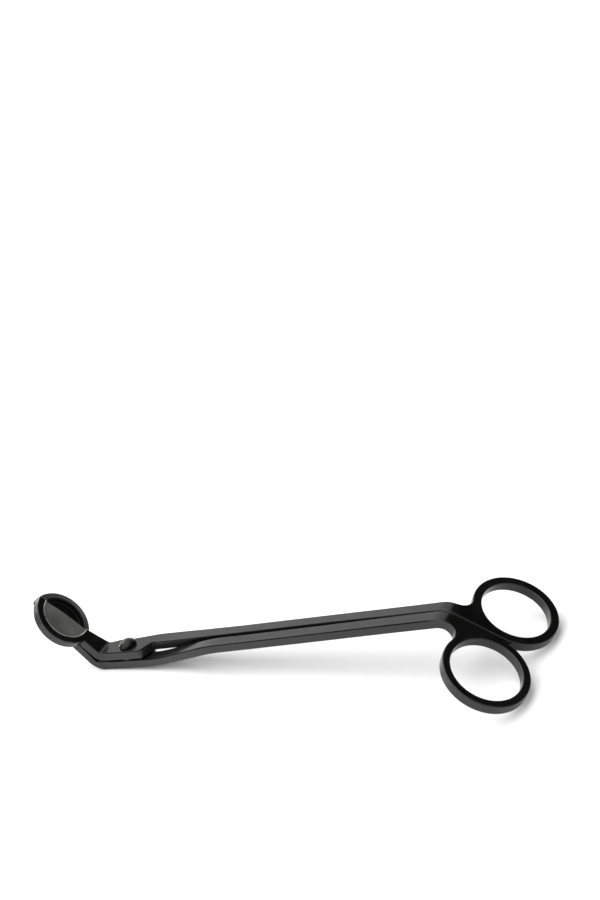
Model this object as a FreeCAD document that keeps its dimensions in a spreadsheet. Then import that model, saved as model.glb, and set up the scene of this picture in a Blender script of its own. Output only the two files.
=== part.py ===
import FreeCAD, Part
import os
import math
from FreeCAD import Vector as V

# Wick trimmer: two bent scissor arms that turn on one slotted screw. Each arm carries one half of a
# round, cup-like head set up at a steep angle, with a half-moon blade let into its rim, and a finger loop.
# While building, the origin is on the pivot axis, +X runs along the shafts towards the finger loops,
# +Y towards the side of the upper arm's loop and +Z is the pivot plates' normal. Every piece is then
# placed as the trimmer rests on a table: on the lower arm's bend and the far ends of both loops. Millimetres.

doc = FreeCAD.newDocument("wick_trimmer")
sheet = doc.addObject("Spreadsheet::Sheet", "sizes")

CELLS = [
    # pivot plates and shafts
    ("plate_thk", 3.2), ("plate_gap", 0.45), ("plate_half", 4.15), ("shaft_thk", 3.0), ("shaft_tilt_deg", 2.179),
    ("shaft_top_z", 2.762), ("shaft_half", 5.05), ("split_half", 0.15),
    # handles and finger loops
    ("apex_x", 125.41), ("handle_bend_deg", 39.98), ("handle_in_rad", 5.0), ("handle_out_rad", 8.0),
    ("loop_along", 18.05), ("loop_side", 14.95), ("loop_twist_deg", 5.0), ("loop_blend_rad", 4.0),
    ("hole_long", 11.73), ("hole_short", 10.66), ("top_loop_long", 14.95), ("top_loop_short", 13.4),
    ("low_loop_long", 14.3), ("low_loop_short", 13.0),
    # neck and head
    ("head_bend_x", 10.67), ("head_bend_deg", 61.57), ("head_skew_deg", 5.65), ("bend_in_rad", 1.5),
    ("low_bend_in", 2.0), ("low_bend_out", 7.0), ("head_ctr", 17.83), ("rim_rad", 11.41), ("seat_rad", 8.66),
    ("seat_clear", 0.015), ("rim_fall", 0.65), ("low_rim_rad", 11.6), ("low_rim_bevel", 0.9),
    # blades
    ("blade_floor", 1.3), ("top_blade_thk", 2.2), ("low_blade_thk", 2.8), ("blade_overlap", 1.1),
    ("land_wid", 0.9), ("cup_deep", 1.4), ("cup_wall", 0.35), ("cup_fillet", 0.6),
    # screw and washer
    ("pin_rad", 2.0), ("pin_run_clear", 0.04), ("pin_fit_clear", 0.012), ("screw_head_rad", 3.1), ("screw_head_hgt", 2.45),
    ("screw_head_edge", 1.0), ("slot_wid", 1.15), ("slot_deep", 1.25), ("slot_turn_deg", 50.0), ("washer_rad", 3.8), ("washer_thk", 0.41),
    ("cut_run", 8.23), ("cut_mid", 0.63), ("cut_slope", -1.34), ("cut_bow", 0.48),
    # how it rests on a table
    ("rest_tilt_deg", 3.891), ("rest_dx", -59.2325), ("rest_dy", -0.324), ("rest_dz", 4.172),
    # edges and cutting stock
    ("edge_rad", 0.35), ("stock_wide", 80.0), ("stock_high", 70.0), ("stock_head", 24.0), ("stock_handle", 24.0),
]
for i, (name, value) in enumerate(CELLS):
    row = i + 1
    sheet.set("A%d" % row, name)
    sheet.set("B%d" % row, repr(float(value)))
    sheet.setAlias("B%d" % row, name)
doc.recompute()


def sz(name):
    return float(sheet.get(name))


# ---------------------------------------------------------------- plane geometry helpers
def rounded(pts):
    """Corner list (x, y, radius) of a closed outline -> lines and tangent arcs. Radius None: as large as fits."""
    n = len(pts)
    cut = []
    for i in range(n):
        p0, p, p1 = pts[i - 1], pts[i], pts[(i + 1) % n]
        a = (p0[0] - p[0], p0[1] - p[1])
        b = (p1[0] - p[0], p1[1] - p[1])
        la, lb = math.hypot(*a), math.hypot(*b)
        a, b = (a[0] / la, a[1] / la), (b[0] / lb, b[1] / lb)
        ang = math.acos(max(-1.0, min(1.0, a[0] * b[0] + a[1] * b[1])))
        turn = math.pi - ang
        r = p[2]
        if turn < 1e-4 or r == 0:
            cut.append((p[:2], p[:2], None))
            continue
        reach = 0.46 * min(la, lb)
        t = reach if r is None else r * math.tan(turn / 2)
        t = min(t, reach)
        r = t / math.tan(turn / 2)
        s = (p[0] + a[0] * t, p[1] + a[1] * t)
        e = (p[0] + b[0] * t, p[1] + b[1] * t)
        bis = (a[0] + b[0], a[1] + b[1])
        lbis = math.hypot(*bis)
        d = r / math.cos(turn / 2) - r
        m = (p[0] + bis[0] / lbis * d, p[1] + bis[1] / lbis * d)
        cut.append((s, e, m))
    out = []
    for i in range(n):
        s, e, m = cut[i]
        if m is not None:
            out.append((s, m, e))
        nxt = cut[(i + 1) % n][0]
        if math.hypot(nxt[0] - e[0], nxt[1] - e[1]) > 1e-6:
            out.append((e, nxt))
    return out


def meet(p, d, q, e):
    """Crossing point of the lines p + t*d and q + w*e in a plane."""
    det = d[0] * -e[1] + e[0] * d[1]
    t = ((q[0] - p[0]) * -e[1] + e[0] * (q[1] - p[1])) / det
    return (p[0] + t * d[0], p[1] + t * d[1])


def on(line, w):
    return (line[0][0] + line[1][0] * w, line[0][1] + line[1][1] * w)


# ---------------------------------------------------------------- planes that the sketches lie in
beta = math.radians(sz("head_bend_deg"))
phi = math.radians(sz("head_skew_deg"))
gam = math.radians(sz("shaft_tilt_deg"))
kap = gam - math.radians(sz("handle_bend_deg"))
thk, gap, sthk = sz("plate_thk"), sz("plate_gap"), sz("shaft_thk")
z_top = thk + gap / 2          # top face of the upper pivot plate
z_gap = gap / 2
bx = sz("head_bend_x")
hw = sz("plate_half")
wide, high = sz("stock_wide"), sz("stock_high")

skew = FreeCAD.Rotation(V(0, 0, 1), sz("head_skew_deg"))
eX, eY, eZ = V(1, 0, 0), V(0, 1, 0), V(0, 0, 1)
# head plane: u runs up the neck towards the tip, y sideways, n out of the head's upper face
h_u = skew.multVec(V(-math.cos(beta), 0, math.sin(beta)))
h_y = skew.multVec(eY)
h_n = skew.multVec(V(math.sin(beta), 0, math.cos(beta)))
h_o = skew.multVec(V(-bx, 0, z_top))
# handle plane: u runs down along the handle from the top of its bend
apex = V(sz("apex_x"), 0, sz("shaft_top_z") + math.tan(gam) * sz("apex_x"))
k_u = V(math.cos(kap), 0, math.sin(kap))
k_n = V(-math.sin(kap), 0, math.cos(kap))


def plane(o, ax, ay):
    az = ax.cross(ay)
    m = FreeCAD.Matrix(ax.x, ay.x, az.x, o.x, ax.y, ay.y, az.y, o.y, ax.z, ay.z, az.z, o.z, 0, 0, 0, 1)
    return FreeCAD.Placement(m)


PLAN = plane(V(0, 0, 0), eX, eY)
SIDE = plane(V(0, wide / 2, 0), eX, eZ)                       # x, z profiles, extruded towards -Y
HANDLE = plane(apex, k_u, eY)
HEAD = plane(h_o, h_y, h_u)                                    # sketched as (y, u)
PLAN_H = plane(V(0, 0, 0), skew.multVec(eX), h_y)
SIDE_H = plane(skew.multVec(V(0, wide / 2, 0)), skew.multVec(eX), eZ)


# ---------------------------------------------------------------- document helpers
def pad(name, where, pts, low, length):
    """Body with one sketch of straight lines and tangent arcs, padded by the sheet's `length`, starting at low."""
    body = doc.addObject("PartDesign::Body", name)
    sk = body.newObject("Sketcher::SketchObject", name + "_outline")
    xy = [f for f in body.Origin.OriginFeatures if f.Role == "XY_Plane"][0]
    sk.AttachmentSupport = [(xy, "")]
    sk.MapMode = "FlatFace"
    sk.AttachmentOffset = FreeCAD.Placement(V(0, 0, low), FreeCAD.Rotation())
    for g in rounded(pts):
        p = [V(q[0], q[1], 0) for q in g]
        sk.addGeometry(Part.LineSegment(*p) if len(p) == 2 else Part.Arc(*p), False)
    pd = body.newObject("PartDesign::Pad", name + "_pad")
    pd.Profile = sk
    pd.setExpression("Length", "sizes.%s" % length)
    body.Placement = where
    return body


def yu(pts):
    """(u, y, radius) corners of the head plane in the order its sketch uses."""
    return [(p[1], p[0], p[2]) for p in pts]


def op(kind, name, *objs):
    o = doc.addObject(kind, name)
    if kind == "Part::Cut":
        o.Base, o.Tool = objs
    else:
        o.Shapes = list(objs)
    o.Refine = True
    return o


def common(name, *objs):
    return op("Part::MultiCommon", name, *objs)


def fuse(name, *objs):
    return op("Part::MultiFuse", name, *objs)


def cut(name, a, b):
    return op("Part::Cut", name, a, b)


def cyl(name, where, rad, hgt, low):
    c = doc.addObject("Part::Cylinder", name)
    c.setExpression("Radius", rad)
    c.setExpression("Height", hgt)
    c.Placement = where.multiply(FreeCAD.Placement(low, FreeCAD.Rotation()))
    return c


def shaft_line(off):
    """A point and direction (x, z) of the shafts' top plane, moved by off along its normal."""
    return ((-math.sin(gam) * off, sz("shaft_top_z") + math.cos(gam) * off), (math.cos(gam), math.sin(gam)))


def handle_line(off):
    return ((apex.x - math.sin(kap) * off, apex.z + math.cos(kap) * off), (math.cos(kap), math.sin(kap)))


def neck_line(off):
    """The same for the head plane, in the skewed x, z plane."""
    return ((-bx + math.sin(beta) * off, z_top + math.cos(beta) * off), (-math.cos(beta), math.sin(beta)))


A_top = meet(*(shaft_line(0) + handle_line(0)))
A_bot = meet(*(shaft_line(-sthk) + handle_line(-sthk)))
H_END = 40.0


def bend_side(name, p, q, keep, where):
    """Everything on one side of a bend's mid plane through p and q."""
    d = (p[0] - q[0], p[1] - q[1])
    n = math.hypot(*d)
    d = (d[0] / n, d[1] / n)
    a, b = (p[0] - d[0] * 90, p[1] - d[1] * 90), (p[0] + d[0] * 90, p[1] + d[1] * 90)
    return pad(name, where, [(a[0], a[1], 0), (b[0], b[1], 0), (b[0] + keep * 200, b[1], 0), (a[0] + keep * 200, a[1], 0)], 0.0, "stock_wide")


# plan outlines of the two arms' plates and shafts; both keep clear of the split line between them
SPLIT, HALF = sz("split_half"), sz("shaft_half")
PLAN_PTS = {
    "top_arm": [
        (-5.0, -hw, 0), (7.5, -hw, 0.8), (10.2, 0.8, 0.25), (48.0, 0.8, None), (84.0, 0.64, None), (109.0, SPLIT, None),
        (150.0, SPLIT, 0), (150.0, HALF, 0), (109.0, HALF, None), (84.0, 5.33, None), (46.0, 5.55, None), (34.0, 5.85, None),
        (21.0, 6.35, None), (12.0, 6.35, None), (5.0, 5.2, None), (-1.5, 4.2, None), (-5.0, 4.2, 0)],
    "bottom_arm": [
        (-5.0, 4.2, 0), (7.5, 4.2, 0.5), (10.2, 0.5, 0.25), (18.0, 0.45, None), (31.0, -0.7, None), (48.0, -0.85, None), (84.0, -0.66, None), (109.0, -SPLIT, None),
        (150.0, -SPLIT, 0), (150.0, -HALF, 0), (109.0, -HALF, None), (84.0, -5.33, None), (47.0, -5.6, None), (34.0, -5.5, None),
        (24.0, -4.95, None), (14.0, -4.3, None), (4.0, -hw, None), (-5.0, -hw, 0)],
}


def ellipse(name, sgn, long, short, low):
    """Elliptical prism square to the handle plane; its long axis runs nearly across the handle."""
    e = doc.addObject("Part::Ellipse", name + "_curve")
    e.setExpression("MajorRadius", "sizes.%s" % long)
    e.setExpression("MinorRadius", "sizes.%s" % short)
    x = doc.addObject("Part::Extrusion", name)
    x.Base = e
    x.DirMode = "Custom"
    x.Dir = V(0, 0, 1)
    x.setExpression("LengthFwd", "sizes.stock_handle")
    x.Solid = True
    turn = FreeCAD.Rotation(V(0, 0, 1), 90.0 - sgn * sz("loop_twist_deg"))
    x.Placement = HANDLE.multiply(FreeCAD.Placement(V(sz("loop_along"), sgn * sz("loop_side"), low), turn))
    return x


def main_piece(name):
    """Pivot plate, shaft, handle bend and finger loop of one arm."""
    upper = name == "top_arm"
    sgn = 1.0 if upper else -1.0
    if upper:
        zt, zb = z_top, z_gap
        k1 = meet((0, zt), (1, 0), *shaft_line(0))
        k2 = meet((0, zb), (1, 0), *shaft_line(-sthk))
        top = [(-5.0, zt, 0), (k1[0], k1[1], 200.0)]
        bot = [(k2[0], k2[1], 200.0), (-5.0, zb, 0)]
    else:
        # the lower arm steps up beyond the pivot, so that both shafts lie side by side in one plane
        zt, zb = -z_gap, -z_gap - thk
        s1 = on(shaft_line(0), 37.0)
        s2 = on(shaft_line(-sthk), 38.0)
        top = [(-5.0, zt, 0), (13.0, zt, 62.0), (s1[0], s1[1], 75.0)]
        bot = [(s2[0], s2[1], 75.0), (12.0, zb, 62.0), (-5.0, zb, 0)]
    e1, e2 = on(handle_line(0), H_END), on(handle_line(-sthk), H_END)
    band = pad(name + "_strap", SIDE, top + [
        (A_top[0], A_top[1], sz("handle_out_rad")), (e1[0], e1[1], 0), (e2[0], e2[1], 0),
        (A_bot[0], A_bot[1], sz("handle_in_rad"))] + bot, 0.0, "stock_wide")
    plan = pad(name + "_plan", PLAN, PLAN_PTS[name], -30.0, "stock_high")
    mid = common(name + "_shaft", band, plan, bend_side(name + "_before_bend", A_top, A_bot, -1, SIDE))
    # handle: a straight web that swells into the loop, both square to the handle plane
    web = pad(name + "_web", HANDLE, [(-30, sgn * SPLIT, 0), (18.0, sgn * SPLIT, 0), (18.0, sgn * HALF, 0), (-30, sgn * HALF, 0)], -12.0, "stock_handle")
    loop = ellipse(name + "_loop", sgn, "top_loop_long" if upper else "low_loop_long", "top_loop_short" if upper else "low_loop_short", -12.0)
    own = pad(name + "_own_side", HANDLE, [(-35, sgn * SPLIT, 0), (60.0, sgn * SPLIT, 0), (60.0, sgn * 40, 0), (-35, sgn * 40, 0)], -12.0, "stock_handle")
    grip = common(name + "_grip_sharp", fuse(name + "_web_loop", web, loop), own)
    doc.recompute()
    pick = []
    for i, e in enumerate(grip.Shape.Edges):
        a, b = e.Vertexes[0].Point, e.Vertexes[-1].Point
        q = a - apex
        if abs((a - b).Length - sz("stock_handle")) < 0.01 and abs(abs(q.y) - HALF) < 0.01 and 3.0 < q.dot(k_u) < 12.0:
            pick.append((i + 1, sz("loop_blend_rad"), sz("loop_blend_rad")))
    if pick:
        blend = doc.addObject("Part::Fillet", name + "_grip")
        blend.Base = grip
        blend.Edges = pick
        grip = blend
    hnd = common(name + "_handle", band, grip, bend_side(name + "_past_bend", A_top, A_bot, 1, SIDE))
    hole = ellipse(name + "_finger_hole", sgn, "hole_long", "hole_short", -12.0)
    return mid, hnd, hole


ctr = sz("head_ctr")
R, Ri = sz("rim_rad"), sz("seat_rad")
lay = thk + gap                  # the lower arm lies one layer under the upper one
blade_under = sz("blade_floor") + sz("top_blade_thk")
low_blade_top = lay


def edge_h(x_h, y):
    """Sideways place, in the skewed plane, of a plate edge that runs straight at y."""
    return (y - x_h * math.sin(phi)) / math.cos(phi)


def head_disc(name, rad, low):
    return cyl(name, HEAD, rad, "sizes.stock_head", V(0, ctr, low))


def foot(name, xs):
    """Plan of the short strip that joins the pivot plate to the skewed bend."""
    return pad(name, PLAN_H, [
        (-3.0, edge_h(-3.0, -hw), 0), (-3.0, edge_h(-3.0, 4.2), 0), (-6.0, edge_h(-6.0, 4.2), 3.0), (xs, 4.0, 0),
        (-60.0, 4.0, 0), (-60.0, edge_h(xs, -hw), 0), (xs, edge_h(xs, -hw), 0)], -20.0, "stock_high")


def top_head(name="top_arm"):
    """Neck and near half of the rim on the upper arm."""
    c0, c1 = neck_line(0), neck_line(-thk)
    m0 = meet((0, z_top), (1, 0), *c0)
    m1 = meet((0, z_gap), (1, 0), *c1)
    e0, e1 = on(c0, 32.0), on(c1, 32.0)
    ri = sz("bend_in_rad")
    band = pad(name + "_neck_strap", SIDE_H, [
        (-3.0, z_top, 0), (m0[0], m0[1], ri), (e0[0], e0[1], 0), (e1[0], e1[1], 0), (m1[0], m1[1], ri + thk), (-3.0, z_gap, 0)], 0.0, "stock_wide")
    xs = m0[0] + ri * math.tan(beta / 2)
    yn = edge_h(xs, -hw)
    flat = common(name + "_foot", band, foot(name + "_foot_plan", xs), bend_side(name + "_foot_side", m0, m1, 1, SIDE_H))
    neck = pad(name + "_neck_plan", HEAD, yu([
        (-40.0, yn, 0), (1.2, yn, 5.0), (5.0, -3.4, 5.0), (9.6, -3.4, 0), (9.6, 1.5, 0), (8.68, 1.68, 4.0), (0.9, 4.0, 0), (-40.0, 4.0, 0)]), -12.0, "stock_head")
    up = common(name + "_neck", band, neck, bend_side(name + "_neck_side", m0, m1, -1, SIDE_H))
    near = pad(name + "_rim_half", HEAD, yu([(6.0, 2.1, 0), (29.6, -1.58, 0), (29.6, -20, 0), (6.0, -20, 0)]), -12.0, "stock_head")
    rim = common(name + "_rim", cyl(name + "_rim_disc", HEAD, "sizes.rim_rad", "sizes.plate_thk", V(0, ctr, -thk)), near)
    return flat, up, rim


def low_head(name="bottom_arm"):
    """Neck and far half of the rim on the lower arm, one layer further down."""
    c0 = neck_line(-lay)
    c1 = neck_line(-lay - thk)
    zt, zb = -z_gap, -z_gap - thk
    # the neck starts a little further down at the bend, so that the upper neck can swing past it
    a0, a1 = on(neck_line(-lay - 0.5), 0.0), on(c0, 8.0)
    dw = (a1[0] - a0[0], a1[1] - a0[1])
    m0 = meet((0, zt), (1, 0), a0, dw)
    m1 = meet((0, zb), (1, 0), *c1)
    e0, e1 = on(c0, 32.0), on(c1, 32.0)
    band = pad(name + "_neck_strap", SIDE_H, [
        (-3.0, zt, 0), (m0[0], m0[1], sz("low_bend_in")), (a1[0], a1[1], 12.0), (e0[0], e0[1], 0), (e1[0], e1[1], 0),
        (m1[0], m1[1], sz("low_bend_out")), (-3.0, zb, 0)], 0.0, "stock_wide")
    xs = -10.4
    yn = edge_h(xs, -hw)
    flat = common(name + "_foot", band, foot(name + "_foot_plan", xs), bend_side(name + "_foot_side", m0, m1, 1, SIDE_H))
    neck = pad(name + "_neck_plan", HEAD, yu([(-40.0, yn, 0), (9.6, yn, 0), (9.6, 4.0, 0), (-40.0, 4.0, 0)]), -14.0, "stock_head")
    up = common(name + "_neck_full", band, neck, bend_side(name + "_neck_side", m0, m1, -1, SIDE_H))
    # inside the rim's circle the rim's own sloping top takes over from the neck
    up = cut(name + "_neck", up, cyl(name + "_neck_stop", HEAD, "sizes.rim_rad - 0.9", "sizes.stock_head", V(0, ctr, -14.0)))
    far = pad(name + "_rim_half", HEAD, yu([(6.0, yn, 0), (29.6, -1.0, 0), (29.6, 20, 0), (6.0, 20, 0)]), -14.0, "stock_head")
    # far half of the rim: its top face falls away outwards, so it is turned, not padded
    turned = doc.addObject("PartDesign::Body", name + "_rim_ring")
    sk = turned.newObject("Sketcher::SketchObject", name + "_rim_section")
    xz = [f for f in turned.Origin.OriginFeatures if f.Role == "XZ_Plane"][0]
    sk.AttachmentSupport = [(xz, "")]
    sk.MapMode = "FlatFace"
    ro, bev = sz("low_rim_rad"), sz("low_rim_bevel")
    q = [(0, -lay), (Ri, -lay), (ro, -lay - sz("rim_fall")), (ro, -lay - thk + 1.3 * bev), (ro - bev, -lay - thk), (0, -lay - thk)]
    for j in range(6):
        a, b = q[j], q[(j + 1) % 6]
        sk.addGeometry(Part.LineSegment(V(a[0], a[1], 0), V(b[0], b[1], 0)), False)
    rv = turned.newObject("PartDesign::Revolution", name + "_rim_turn")
    rv.Profile = sk
    rv.ReferenceAxis = (sk, ["V_Axis"])
    rv.Angle = 360.0
    turned.Placement = HEAD.multiply(FreeCAD.Placement(V(0, ctr, 0), FreeCAD.Rotation()))
    rim = common(name + "_rim", turned, far)
    return flat, up, rim


def cut_edge(w, off):
    """Cutting edge of the upper blade, w from -1 at the neck to +1 at the tip, moved sideways by off."""
    return (ctr + sz("cut_run") * w, sz("cut_mid") + sz("cut_slope") * w + sz("cut_bow") * (1 - w * w) + off)


def chord(off, rad):
    """The cutting edge cut off by the circle of radius rad: neck end, middle, tip end, as (u, y)."""
    ends = []
    for sgn in (-1.0, 1.0):
        lo, hi = 0.0, 1.4
        for _ in range(60):
            m = (lo + hi) / 2
            u, y = cut_edge(sgn * m, off)
            if math.hypot(u - ctr, y) < rad:
                lo = m
            else:
                hi = m
        ends.append(cut_edge(sgn * lo, off))
    return ends[0], cut_edge(0.0, off), ends[1]


def half_moon(body, name, off, rad, side, low):
    """Sketch of a half disc between the cutting edge moved by off and the circle of radius rad, on one side."""
    sk = body.newObject("Sketcher::SketchObject", name)
    xy = [f for f in body.Origin.OriginFeatures if f.Role == "XY_Plane"][0]
    sk.AttachmentSupport = [(xy, "")]
    sk.MapMode = "FlatFace"
    sk.AttachmentOffset = FreeCAD.Placement(V(0, 0, low), FreeCAD.Rotation())
    p0, p1, p2 = [V(q[1], q[0], 0) for q in chord(off, rad)]
    sk.addGeometry(Part.Arc(p0, p1, p2), False)
    sk.addGeometry(Part.Arc(p2, V(side * rad, ctr, 0), p0), False)
    return sk


def blade(name, off, side, low, length):
    body = doc.addObject("PartDesign::Body", name)
    sk = half_moon(body, name + "_outline", off, Ri, side, low)
    pd = body.newObject("PartDesign::Pad", name + "_pad")
    pd.Profile = sk
    pd.setExpression("Length", "sizes.%s" % length)
    return body


def arm(name):
    mid, hnd, hole = main_piece(name)
    flat, up, rim = top_head() if name == "top_arm" else low_head()
    whole = fuse(name + "_blank", mid, hnd, flat, up, rim)
    seat = head_disc(name + "_seat", "sizes.seat_rad + sizes.seat_clear", -14.0)
    fit = "sizes.pin_run_clear" if name == "top_arm" else "sizes.pin_fit_clear"
    bore = cyl(name + "_bore", PLAN, "sizes.pin_rad + " + fit, "sizes.stock_head", V(0, 0, -12.0))
    blank = cut(name + "_shape", whole, fuse(name + "_openings", hole, seat, bore))
    doc.recompute()
    return blank


def right_angled(shape):
    """Chains of smoothly joined edges where two faces meet at about a right angle on the outside."""
    anc = {}
    for f in shape.Faces:
        for e in f.Edges:
            anc.setdefault(e.hashCode(), []).append(f)
    good = {}
    for i, e in enumerate(shape.Edges):
        fs = anc.get(e.hashCode(), [])
        if len(fs) != 2 or fs[0].isSame(fs[1]) or e.Length < 0.02:
            continue
        mid_p = e.valueAt((e.FirstParameter + e.LastParameter) / 2)
        nn = []
        for f in fs:
            u, v = f.Surface.parameter(mid_p)
            nn.append(f.normalAt(u, v))
        ang = math.degrees(nn[0].getAngle(nn[1]))
        if not 50 < ang < 130:
            continue
        out = nn[0] + nn[1]
        out.normalize()
        if shape.isInside(mid_p + out * 0.05, 1e-4, True) or not shape.isInside(mid_p - out * 0.05, 1e-4, True):
            continue
        good[i + 1] = e
    chains = []
    left = dict(good)
    while left:
        k, e = left.popitem()
        chain = [k]
        ends = [(v.Point, e) for v in (e.Vertexes[0], e.Vertexes[-1])]
        while ends:
            p, src_e = ends.pop()
            for k2, e2 in list(left.items()):
                for a, b in ((0, -1), (-1, 0)):
                    if (e2.Vertexes[a].Point - p).Length < 1e-4:
                        t1 = src_e.tangentAt(src_e.Curve.parameter(p))
                        t2 = e2.tangentAt(e2.Curve.parameter(p))
                        d = abs(t1.dot(t2))
                        if d > 0.98:
                            chain.append(k2)
                            left.pop(k2)
                            ends.append((e2.Vertexes[b].Point, e2))
                        break
        chains.append(chain)
    chains.sort(key=lambda c: -sum(good[k].Length for k in c))
    return chains, good


REST = FreeCAD.Placement(V(sz("rest_dx"), sz("rest_dy"), sz("rest_dz")), FreeCAD.Rotation(V(0, 1, 0), -sz("rest_tilt_deg")))


def rounds(name, base):
    """Small rounds on the outer edges, taking every chain of edges that the kernel can round together."""
    shape = base.Shape
    r = sz("edge_rad")
    chains, good = right_angled(shape)
    lengths = [sum(good[k].Length for k in c) for c in chains]

    def works(ids):
        try:
            q = shape.makeFillet(r, [shape.Edges[k - 1] for k in ids])
        except Exception:
            return False
        taken = shape.Volume - q.Volume
        room = sum(good[k].Length for k in ids) * r * r * 0.35 + 0.5
        return q.isValid() and len(q.Solids) == 1 and 0 < taken < room

    ids = [k for c, n in zip(chains, lengths) if n > 12.0 for k in c]
    rest = [c for c, n in zip(chains, lengths) if 1.5 < n <= 12.0]
    if not works(ids):
        ids = []
        rest = [c for c, n in zip(chains, lengths) if n > 1.5]
    for c in rest:
        if works(ids + c):
            ids = ids + c
    f = doc.addObject("Part::Fillet", name)
    f.Base = base
    f.Edges = [(k, r, r) for k in sorted(ids)]
    print(name, "edges rounded", len(ids), "of", len(good))
    return f


parts = {}
for name in ("top_arm", "bottom_arm"):
    parts[name] = rounds(name, arm(name))

# ---------------------------------------------------------------- half-moon blades let into the two rims
upper = blade("top_blade_plate", 0.0, -1.0, -blade_under, "top_blade_thk")
doc.recompute()
parts["top_blade_plate"] = upper

lower = blade("bottom_blade_plate", -sz("blade_overlap"), 1.0, -low_blade_top - sz("low_blade_thk"), "low_blade_thk")
doc.recompute()
full = lower.Shape.Volume
# the lower blade keeps a raised land along its cutting edge and is dished behind it
cup = half_moon(lower, "bottom_blade_plate_dish_outline", -sz("blade_overlap") + sz("land_wid"), Ri - sz("cup_wall"), 1.0, -low_blade_top)
pk = lower.newObject("PartDesign::Pocket", "bottom_blade_plate_dish")
pk.Profile = cup
pk.setExpression("Length", "sizes.cup_deep")
doc.recompute()
assert full - lower.Shape.Volume > 50.0, "the dish cut nothing"
edge = []
for i, e in enumerate(lower.Shape.Edges):
    m = e.valueAt((e.FirstParameter + e.LastParameter) / 2)
    if abs(m.z + low_blade_top + sz("cup_deep")) < 1e-6:
        edge.append("Edge%d" % (i + 1))
fl = lower.newObject("PartDesign::Fillet", "bottom_blade_plate_dish_round")
fl.Base = (pk, edge)
fl.setExpression("Radius", "sizes.cup_fillet")
parts["bottom_blade_plate"] = lower

# ---------------------------------------------------------------- pivot screw: domed, slotted, turned in one piece
screw = doc.addObject("PartDesign::Body", "pivot_screw")
sk = screw.newObject("Sketcher::SketchObject", "pivot_screw_section")
xz = [f for f in screw.Origin.OriginFeatures if f.Role == "XZ_Plane"][0]
sk.AttachmentSupport = [(xz, "")]
sk.MapMode = "FlatFace"
pr, hr = sz("pin_rad"), sz("screw_head_rad")
seat_z = z_top + 0.02
tip_z = -z_gap - thk + 0.15
edge_z, dome_z = seat_z + sz("screw_head_edge"), seat_z + sz("screw_head_hgt")
dome_r = (hr * hr + (dome_z - edge_z) ** 2) / (2 * (dome_z - edge_z))
half = math.asin(hr / dome_r) / 2
line = [(0, tip_z), (pr - 0.3, tip_z), (pr, tip_z + 0.3), (pr, seat_z), (hr - 0.15, seat_z), (hr, seat_z + 0.15), (hr, edge_z)]
for a, b in zip(line[:-1], line[1:]):
    sk.addGeometry(Part.LineSegment(V(a[0], a[1], 0), V(b[0], b[1], 0)), False)
mid_d = (dome_r * math.sin(half), dome_z - dome_r + dome_r * math.cos(half))
sk.addGeometry(Part.Arc(V(hr, edge_z, 0), V(mid_d[0], mid_d[1], 0), V(0, dome_z, 0)), False)
sk.addGeometry(Part.LineSegment(V(0, dome_z, 0), V(0, tip_z, 0)), False)
rv = screw.newObject("PartDesign::Revolution", "pivot_screw_turn")
rv.Profile = sk
rv.ReferenceAxis = (sk, ["V_Axis"])
rv.Angle = 360.0
doc.recompute()
full = screw.Shape.Volume
slot = screw.newObject("Sketcher::SketchObject", "pivot_screw_slot_outline")
xy = [f for f in screw.Origin.OriginFeatures if f.Role == "XY_Plane"][0]
slot.AttachmentSupport = [(xy, "")]
slot.MapMode = "FlatFace"
slot.AttachmentOffset = FreeCAD.Placement(V(0, 0, dome_z + 0.1), FreeCAD.Rotation(V(0, 0, 1), sz("slot_turn_deg")))
w = sz("slot_wid") / 2
cs = [(-5, -w), (5, -w), (5, w), (-5, w)]
for j in range(4):
    a, b = cs[j], cs[(j + 1) % 4]
    slot.addGeometry(Part.LineSegment(V(a[0], a[1], 0), V(b[0], b[1], 0)), False)
pk = screw.newObject("PartDesign::Pocket", "pivot_screw_slot")
pk.Profile = slot
pk.setExpression("Length", "sizes.slot_deep + 0.1")
doc.recompute()
assert full - screw.Shape.Volume > 1.0, "the slot cut nothing"
parts["pivot_screw"] = screw

# ---------------------------------------------------------------- washer between the two plates
ring = cyl("washer_outside", FreeCAD.Placement(), "sizes.washer_rad", "sizes.washer_thk", V(0, 0, -sz("washer_thk") / 2))
eye = cyl("washer_hole", FreeCAD.Placement(), "sizes.pin_rad + sizes.pin_run_clear", "sizes.plate_thk", V(0, 0, -thk / 2))
parts["pivot_washer"] = cut("pivot_washer", ring, eye)
doc.recompute()

# ---------------------------------------------------------------- placing, checking and writing
OWN = {"top_blade_plate": HEAD, "bottom_blade_plate": HEAD}
for name, o in parts.items():
    o.Label = name
    o.Placement = REST.multiply(OWN.get(name, FreeCAD.Placement()))
doc.recompute()

failed = [o.Name for o in doc.Objects if "Invalid" in o.State or "Error" in o.State]
if failed:
    raise RuntimeError("objects failed: %s" % failed)
os.makedirs("parts", exist_ok=True)
for name, o in parts.items():
    s = o.Shape
    if s.isNull() or not s.isValid() or len(s.Solids) != 1:
        raise RuntimeError("%s is null, not valid or not one solid" % name)
    s.exportStep("parts/%s.step" % name)
    b = s.optimalBoundingBox(True, False) if hasattr(s, "optimalBoundingBox") else s.BoundBox
    print("%-20s vol %8.1f  x %8.3f %8.3f  y %8.3f %8.3f  z %8.3f %8.3f" % (name, s.Volume, b.XMin, b.XMax, b.YMin, b.YMax, b.ZMin, b.ZMax))
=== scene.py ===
import bpy
import math
from mathutils import Matrix, Vector

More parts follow.
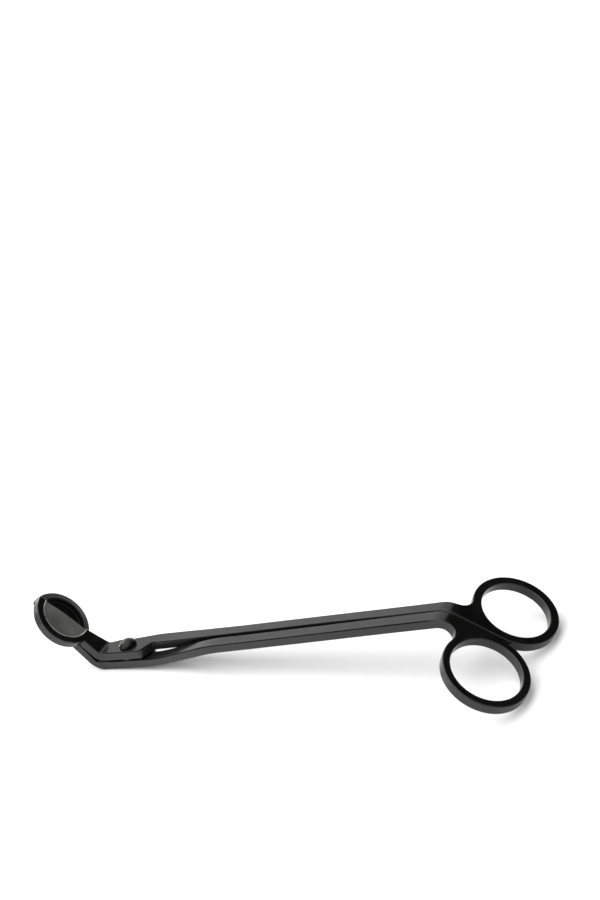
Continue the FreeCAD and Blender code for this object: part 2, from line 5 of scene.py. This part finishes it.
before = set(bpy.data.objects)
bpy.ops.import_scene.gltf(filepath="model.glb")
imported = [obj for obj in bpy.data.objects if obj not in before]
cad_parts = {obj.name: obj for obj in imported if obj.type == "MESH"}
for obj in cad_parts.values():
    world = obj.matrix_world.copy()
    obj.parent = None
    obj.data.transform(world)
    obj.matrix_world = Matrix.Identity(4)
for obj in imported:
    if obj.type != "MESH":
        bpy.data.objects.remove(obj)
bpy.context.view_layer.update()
scene = bpy.context.scene
MM = 0.001


# ------------------------------------------------------------------ node helpers
def new_material(name):
    m = bpy.data.materials.new(name)
    m.use_nodes = True
    nt = m.node_tree
    bsdf = [n for n in nt.nodes if n.type == "BSDF_PRINCIPLED"][0]
    return m, nt, bsdf


def add(nt, kind, **props):
    n = nt.nodes.new(kind)
    for k, v in props.items():
        setattr(n, k, v)
    return n


def noise(nt, coords, scale, detail=3.0, rough=0.55):
    n = add(nt, "ShaderNodeTexNoise")
    n.inputs["Scale"].default_value = scale
    n.inputs["Detail"].default_value = detail
    n.inputs["Roughness"].default_value = rough
    nt.links.new(coords, n.inputs["Vector"])
    return n.outputs["Fac"]


def remap(nt, value, a, b, lo, hi):
    n = add(nt, "ShaderNodeMapRange")
    n.inputs["From Min"].default_value = a
    n.inputs["From Max"].default_value = b
    n.inputs["To Min"].default_value = lo
    n.inputs["To Max"].default_value = hi
    nt.links.new(value, n.inputs["Value"])
    return n.outputs["Result"]


def mathn(nt, op, a, b):
    n = add(nt, "ShaderNodeMath", operation=op)
    for i, v in enumerate((a, b)):
        if op == "SQRT" and i == 1:
            continue
        if isinstance(v, (int, float)):
            n.inputs[i].default_value = v
        else:
            nt.links.new(v, n.inputs[i])
    return n.outputs[0]


def mix_colour(nt, fac, a, b):
    n = add(nt, "ShaderNodeMix", data_type="RGBA")
    for sock, v in (("Factor_Float", fac), ("A_Color", a), ("B_Color", b)):
        s = [i for i in n.inputs if i.identifier == sock][0]
        if isinstance(v, tuple):
            s.default_value = (*v, 1.0)
        elif isinstance(v, (int, float)):
            s.default_value = v
        else:
            nt.links.new(v, s)
    return [o for o in n.outputs if o.identifier == "Result_Color"][0]


def edge_mask(nt, radius, lo, hi):
    """1 along sharp outer edges and 0 on flat faces, from how far a rounded normal turns from the true one."""
    bev = add(nt, "ShaderNodeBevel", samples=6)
    bev.inputs["Radius"].default_value = radius
    geo = add(nt, "ShaderNodeNewGeometry")
    dot = add(nt, "ShaderNodeVectorMath", operation="DOT_PRODUCT")
    nt.links.new(bev.outputs["Normal"], dot.inputs[0])
    nt.links.new(geo.outputs["True Normal"], dot.inputs[1])
    return remap(nt, dot.outputs["Value"], lo, hi, 1.0, 0.0)


# the head's own frame, in metres: centre of the rim's top circle and the normal of its plane
TH, BETA, PHI = math.radians(3.891), math.radians(61.57), math.radians(5.65)


def from_plate(x, y, z):
    """A point given from the pivot, in mm along and square to the plates, placed as the trimmer rests."""
    return Vector(((x * math.cos(TH) - z * math.sin(TH) - 59.2325) * MM, (y - 0.324) * MM, (x * math.sin(TH) + z * math.cos(TH) + 4.172) * MM))


def from_head(a, y, off):
    """a up the neck, y sideways, off out of the head's face, in mm."""
    x = -10.67 - a * math.cos(BETA) + off * math.sin(BETA)
    z = 3.425 + a * math.sin(BETA) + off * math.cos(BETA)
    return from_plate(x * math.cos(PHI) - y * math.sin(PHI), x * math.sin(PHI) + y * math.cos(PHI), z)


HEAD_C = from_head(17.83, 0, 0)
HEAD_N = (from_head(17.83, 0, 1) - HEAD_C).normalized()


def seat_mask(nt, coords):
    sub = add(nt, "ShaderNodeVectorMath", operation="SUBTRACT")
    nt.links.new(coords, sub.inputs[0])
    sub.inputs[1].default_value = HEAD_C
    dot = add(nt, "ShaderNodeVectorMath", operation="DOT_PRODUCT")
    nt.links.new(sub.outputs[0], dot.inputs[0])
    dot.inputs[1].default_value = HEAD_N
    sq = add(nt, "ShaderNodeVectorMath", operation="DOT_PRODUCT")
    nt.links.new(sub.outputs[0], sq.inputs[0])
    nt.links.new(sub.outputs[0], sq.inputs[1])
    flat = mathn(nt, "SUBTRACT", sq.outputs["Value"], mathn(nt, "MULTIPLY", dot.outputs["Value"], dot.outputs["Value"]))
    r = mathn(nt, "SQRT", flat, 0.0)
    ring = mathn(nt, "LESS_THAN", r, 8.99 * MM)
    upper = mathn(nt, "GREATER_THAN", dot.outputs["Value"], -1.6 * MM)
    return mathn(nt, "MULTIPLY", ring, upper)


def cup_shade_mask(nt, coords):
    """Inside the lower half's cup, whose walls see little light; where this mask is set the gloss is lowered as painted
    shade.
    """
    sub = add(nt, "ShaderNodeVectorMath", operation="SUBTRACT")
    nt.links.new(coords, sub.inputs[0])
    sub.inputs[1].default_value = HEAD_C
    dot = add(nt, "ShaderNodeVectorMath", operation="DOT_PRODUCT")
    nt.links.new(sub.outputs[0], dot.inputs[0])
    dot.inputs[1].default_value = HEAD_N
    sq = add(nt, "ShaderNodeVectorMath", operation="DOT_PRODUCT")
    nt.links.new(sub.outputs[0], sq.inputs[0])
    nt.links.new(sub.outputs[0], sq.inputs[1])
    flat = mathn(nt, "SUBTRACT", sq.outputs["Value"], mathn(nt, "MULTIPLY", dot.outputs["Value"], dot.outputs["Value"]))
    return remap(nt, mathn(nt, "SQRT", flat, 0.0), 9.0 * MM, 9.3 * MM, 1.0, 0.0)


def slot_mask(nt, coords):
    """Inside the screw's slot, which runs 50 degrees from the arms."""
    c = from_plate(0, 0, 5.0)
    side = (from_plate(-math.sin(math.radians(50)), math.cos(math.radians(50)), 5.0) - c).normalized()
    sub = add(nt, "ShaderNodeVectorMath", operation="SUBTRACT")
    nt.links.new(coords, sub.inputs[0])
    sub.inputs[1].default_value = c
    dot = add(nt, "ShaderNodeVectorMath", operation="DOT_PRODUCT")
    nt.links.new(sub.outputs[0], dot.inputs[0])
    dot.inputs[1].default_value = side
    return mathn(nt, "LESS_THAN", mathn(nt, "ABSOLUTE", dot.outputs["Value"], 0.0), 0.60 * MM)


def coated_steel(name, base, rough, coat, bump, seed, flake=0.0, warm=0.0, edge_wear_and_highlight_amount=0.2, seat=None, spec=0.5, painted_shade=0.0, cup=None):
    """Black electro-coated steel: deep base colour, satin gloss, faint orange peel, fine dust, and edges painted
    lighter grey that are partly rubbed wear and partly painted highlight; where asked, gloss is lowered as painted
    shade on rounded long edges and in the lower cup.
    """
    m, nt, bsdf = new_material(name)
    tc = add(nt, "ShaderNodeTexCoord")
    off = add(nt, "ShaderNodeMapping")
    off.inputs["Location"].default_value = (seed, seed * 1.7, seed * 0.6)
    nt.links.new(tc.outputs["Object"], off.inputs["Vector"])
    co = off.outputs["Vector"]
    fine = noise(nt, co, 2600.0, 4.0)            # grain of the coating, about 0.4 mm
    peel = noise(nt, co, 620.0, 2.0)             # slow waviness, about 1.6 mm
    cloud = noise(nt, co, 95.0, 3.0)             # handling haze, about 10 mm
    dark = tuple(c * 0.75 for c in base)
    light = (base[0] * 1.35 + warm, base[1] * 1.35 + warm * 0.9, base[2] * 1.35 + warm * 0.55)
    col = mix_colour(nt, remap(nt, cloud, 0.35, 0.65, 0.0, 1.0), dark, light)
    # edges painted lighter grey in patches: partly rubbed wear, partly painted highlight on edges
    edge_wear_and_highlight = mathn(nt, "MULTIPLY", edge_mask(nt, 0.18 * MM, 0.70, 0.90), remap(nt, cloud, 0.48, 0.60, 0.0, 1.0))
    edge_wear_and_highlight = mathn(nt, "MULTIPLY", edge_wear_and_highlight, edge_wear_and_highlight_amount)
    col = mix_colour(nt, edge_wear_and_highlight, col, (0.30, 0.295, 0.28))
    if seat:
        # cut after coating, so bare steel: the ring round the blade's seat, and the walls of the screw's slot
        bare = seat(nt, tc.outputs["Object"])
        col = mix_colour(nt, bare, col, (0.62, 0.61, 0.58))
        nt.links.new(bare, bsdf.inputs["Metallic"])
    nt.links.new(col, bsdf.inputs["Base Color"])
    bsdf.inputs["Specular IOR Level"].default_value = spec
    if painted_shade:
        # painted shade: gloss is lowered on the rounded long edges of the plates and shafts so they read as a dark
        # stripe, and inside the lower cup
        up = add(nt, "ShaderNodeSeparateXYZ")
        nt.links.new(tc.outputs["Normal"], up.inputs[0])
        at = add(nt, "ShaderNodeSeparateXYZ")
        nt.links.new(tc.outputs["Object"], at.inputs[0])
        painted_shade_mask = mathn(nt, "MULTIPLY", remap(nt, up.outputs["Z"], 0.15, 0.28, 0.0, 1.0), remap(nt, up.outputs["Z"], 0.94, 0.985, 1.0, 0.0))
        painted_shade_mask = mathn(nt, "MULTIPLY", painted_shade_mask, mathn(nt, "MULTIPLY", remap(nt, at.outputs["X"], -0.068, -0.066, 0.0, 1.0), remap(nt, at.outputs["X"], 0.060, 0.066, 1.0, 0.0)))
        if cup:
            painted_shade_mask = mathn(nt, "MAXIMUM", painted_shade_mask, cup(nt, tc.outputs["Object"]))
        nt.links.new(mathn(nt, "SUBTRACT", spec, mathn(nt, "MULTIPLY", painted_shade_mask, painted_shade * spec)), bsdf.inputs["Specular IOR Level"])
    r = mathn(nt, "ADD", remap(nt, cloud, 0.3, 0.7, rough - 0.035, rough + 0.045), remap(nt, fine, 0.3, 0.7, -0.02, 0.02))
    nt.links.new(r, bsdf.inputs["Roughness"])
    if not seat:
        bsdf.inputs["Metallic"].default_value = flake
    bsdf.inputs["IOR"].default_value = 1.5
    bsdf.inputs["Coat Weight"].default_value = coat
    bsdf.inputs["Coat Roughness"].default_value = 0.10
    hgt = mathn(nt, "ADD", mathn(nt, "MULTIPLY", fine, 0.35), peel)
    bp = add(nt, "ShaderNodeBump")
    bp.inputs["Strength"].default_value = bump
    bp.inputs["Distance"].default_value = 0.00003
    nt.links.new(hgt, bp.inputs["Height"])
    nt.links.new(bp.outputs["Normal"], bsdf.inputs["Normal"])
    return m


TOP_ARM = coated_steel("black_coat_upper", (0.0036, 0.0036, 0.0036), 0.20, 0.0, 0.12, 3.1, warm=0.0006, seat=seat_mask, spec=0.475, painted_shade=0.95)
LOW_ARM = coated_steel("black_coat_lower", (0.0036, 0.0036, 0.0036), 0.20, 0.0, 0.12, 4.3, warm=0.0006, spec=0.475, painted_shade=0.95, cup=cup_shade_mask)
BLADE = coated_steel("matte_blade", (0.067, 0.067, 0.0656), 0.66, 0.0, 0.4, 8.4, edge_wear_and_highlight_amount=0.2, spec=0.3)
# the lower half's dish: black coat, made darker and far less glossy than the arms as painted shade of the deep cup
DISH_PAINTED_SHADE = coated_steel("dish_painted_shade", (0.0022, 0.0022, 0.0024), 0.42, 0.0, 0.3, 5.2, edge_wear_and_highlight_amount=0.0, spec=0.12)
SCREW = coated_steel("screw_coat", (0.003, 0.003, 0.0031), 0.24, 0.0, 0.15, 1.7, edge_wear_and_highlight_amount=0.25, seat=slot_mask, spec=0.22)
WASHER = coated_steel("washer_steel", (0.06, 0.06, 0.058), 0.35, 0.0, 0.4, 2.6, flake=0.6)

for node, mat in (("top_arm", TOP_ARM), ("bottom_arm", LOW_ARM), ("top_blade_plate", BLADE), ("bottom_blade_plate", DISH_PAINTED_SHADE), ("pivot_screw", SCREW), ("pivot_washer", WASHER)):
    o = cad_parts[node]
    o.data.materials.clear()
    o.data.materials.append(mat)

# ------------------------------------------------------------------ floor sweep, painted darker higher up as shade
m, nt, bsdf = new_material("studio_white_painted_shade")
bsdf.inputs["Base Color"].default_value = (0.93, 0.93, 0.93, 1.0)
bsdf.inputs["Roughness"].default_value = 0.9
bsdf.inputs["Specular IOR Level"].default_value = 0.1
geo = add(nt, "ShaderNodeNewGeometry")
sep = add(nt, "ShaderNodeSeparateXYZ")
nt.links.new(geo.outputs["Position"], sep.inputs[0])
# colour falls from 0.93 at 0.10 m height to 0.53 at 0.42 m: painted shade on the upper sweep, which dims what the
# glossy tops reflect
nt.links.new(mix_colour(nt, remap(nt, sep.outputs["Z"], 0.10, 0.42, 0.0, 1.0), (0.93, 0.93, 0.93), (0.53, 0.53, 0.53)), bsdf.inputs["Base Color"])
FLOOR_MAT = m

W, NEAR, TURN, RAD, TOP = 3.0, -2.2, 0.75, 0.35, 1.6
prof = [(NEAR, 0.0), (TURN, 0.0)]
for i in range(1, 17):
    a = math.radians(90.0 * i / 16)
    prof.append((TURN + RAD * math.sin(a), RAD - RAD * math.cos(a)))
prof.append((TURN + RAD, TOP))
verts, faces = [], []
for y, z in prof:
    verts += [(-W, y, z), (W, y, z)]
for i in range(len(prof) - 1):
    faces.append((2 * i, 2 * i + 1, 2 * i + 3, 2 * i + 2))
me = bpy.data.meshes.new("studio_sweep")
me.from_pydata(verts, [], faces)
for p in me.polygons:
    p.use_smooth = True
sweep = bpy.data.objects.new("studio_sweep", me)
scene.collection.objects.link(sweep)
me.materials.append(FLOOR_MAT)

# black card beside the set, outside the picture: it keeps the loops and the head's rim dark
m, nt, bsdf = new_material("flag_black")
bsdf.inputs["Base Color"].default_value = (0.004, 0.004, 0.004, 1.0)
bsdf.inputs["Roughness"].default_value = 1.0
bsdf.inputs["Specular IOR Level"].default_value = 0.0
me = bpy.data.meshes.new("studio_flag")
me.from_pydata([(0.085, 0.42, 0.03), (0.95, 0.30, 0.03), (0.95, 0.30, 0.95), (0.085, 0.42, 0.95)], [], [(0, 1, 2, 3)])
flag = bpy.data.objects.new("studio_flag", me)
scene.collection.objects.link(flag)
me.materials.append(m)


# ------------------------------------------------------------------ lights
def area(name, loc, target, sx, sy, power, colour=(1, 1, 1)):
    d = bpy.data.lights.new(name, "AREA")
    d.shape = "RECTANGLE"
    d.size, d.size_y = sx, sy
    d.energy = power
    d.color = colour
    o = bpy.data.objects.new(name, d)
    scene.collection.objects.link(o)
    o.location = loc
    z = (Vector(loc) - Vector(target)).normalized()
    o.rotation_euler = z.to_track_quat("Z", "Y").to_euler()
    return o


area("key_overhead", (-0.50, -0.15, 1.25), (0.0, 0.0, 0.0), 1.9, 1.9, 19.0)
area("fill_left", (-1.2, 0.35, 0.7), (0.0, 0.1, 0.0), 1.0, 1.0, 5.0)
area("front_low", (-0.4, -1.5, 0.8), (0.0, 0.0, 0.0), 1.4, 0.8, 5.5)

world = bpy.data.worlds.new("studio")
world.use_nodes = True
bg = [n for n in world.node_tree.nodes if n.type == "BACKGROUND"][0]
bg.inputs["Color"].default_value = (1.0, 1.0, 1.0, 1.0)
bg.inputs["Strength"].default_value = 0.92
scene.world = world

# ------------------------------------------------------------------ camera
el, az, roll = math.radians(20.865), math.radians(32.357), math.radians(-18.026)
back = Vector((math.sin(az) * math.cos(el), -math.cos(az) * math.cos(el), math.sin(el)))
right0 = Vector((math.cos(az), math.sin(az), 0.0))
up0 = back.cross(right0)
right = math.cos(roll) * right0 + math.sin(roll) * up0
up = -math.sin(roll) * right0 + math.cos(roll) * up0
cam_d = bpy.data.cameras.new("camera")
cam = bpy.data.objects.new("camera", cam_d)
scene.collection.objects.link(cam)
cam.matrix_world = Matrix((
    (right.x, up.x, back.x, 206.2175 * MM),
    (right.y, up.y, back.y, -268.004 * MM),
    (right.z, up.z, back.z, 193.860 * MM),
    (0, 0, 0, 1)))
cam_d.sensor_width = 36.0
cam_d.sensor_fit = "AUTO"
cam_d.lens = 46.74
cam_d.shift_x = -0.0110
cam_d.shift_y = 0.0086
cam_d.clip_start = 0.005
cam_d.clip_end = 50.0
scene.camera = cam
scene.view_settings.view_transform = "Standard"
scene.view_settings.look = "None"
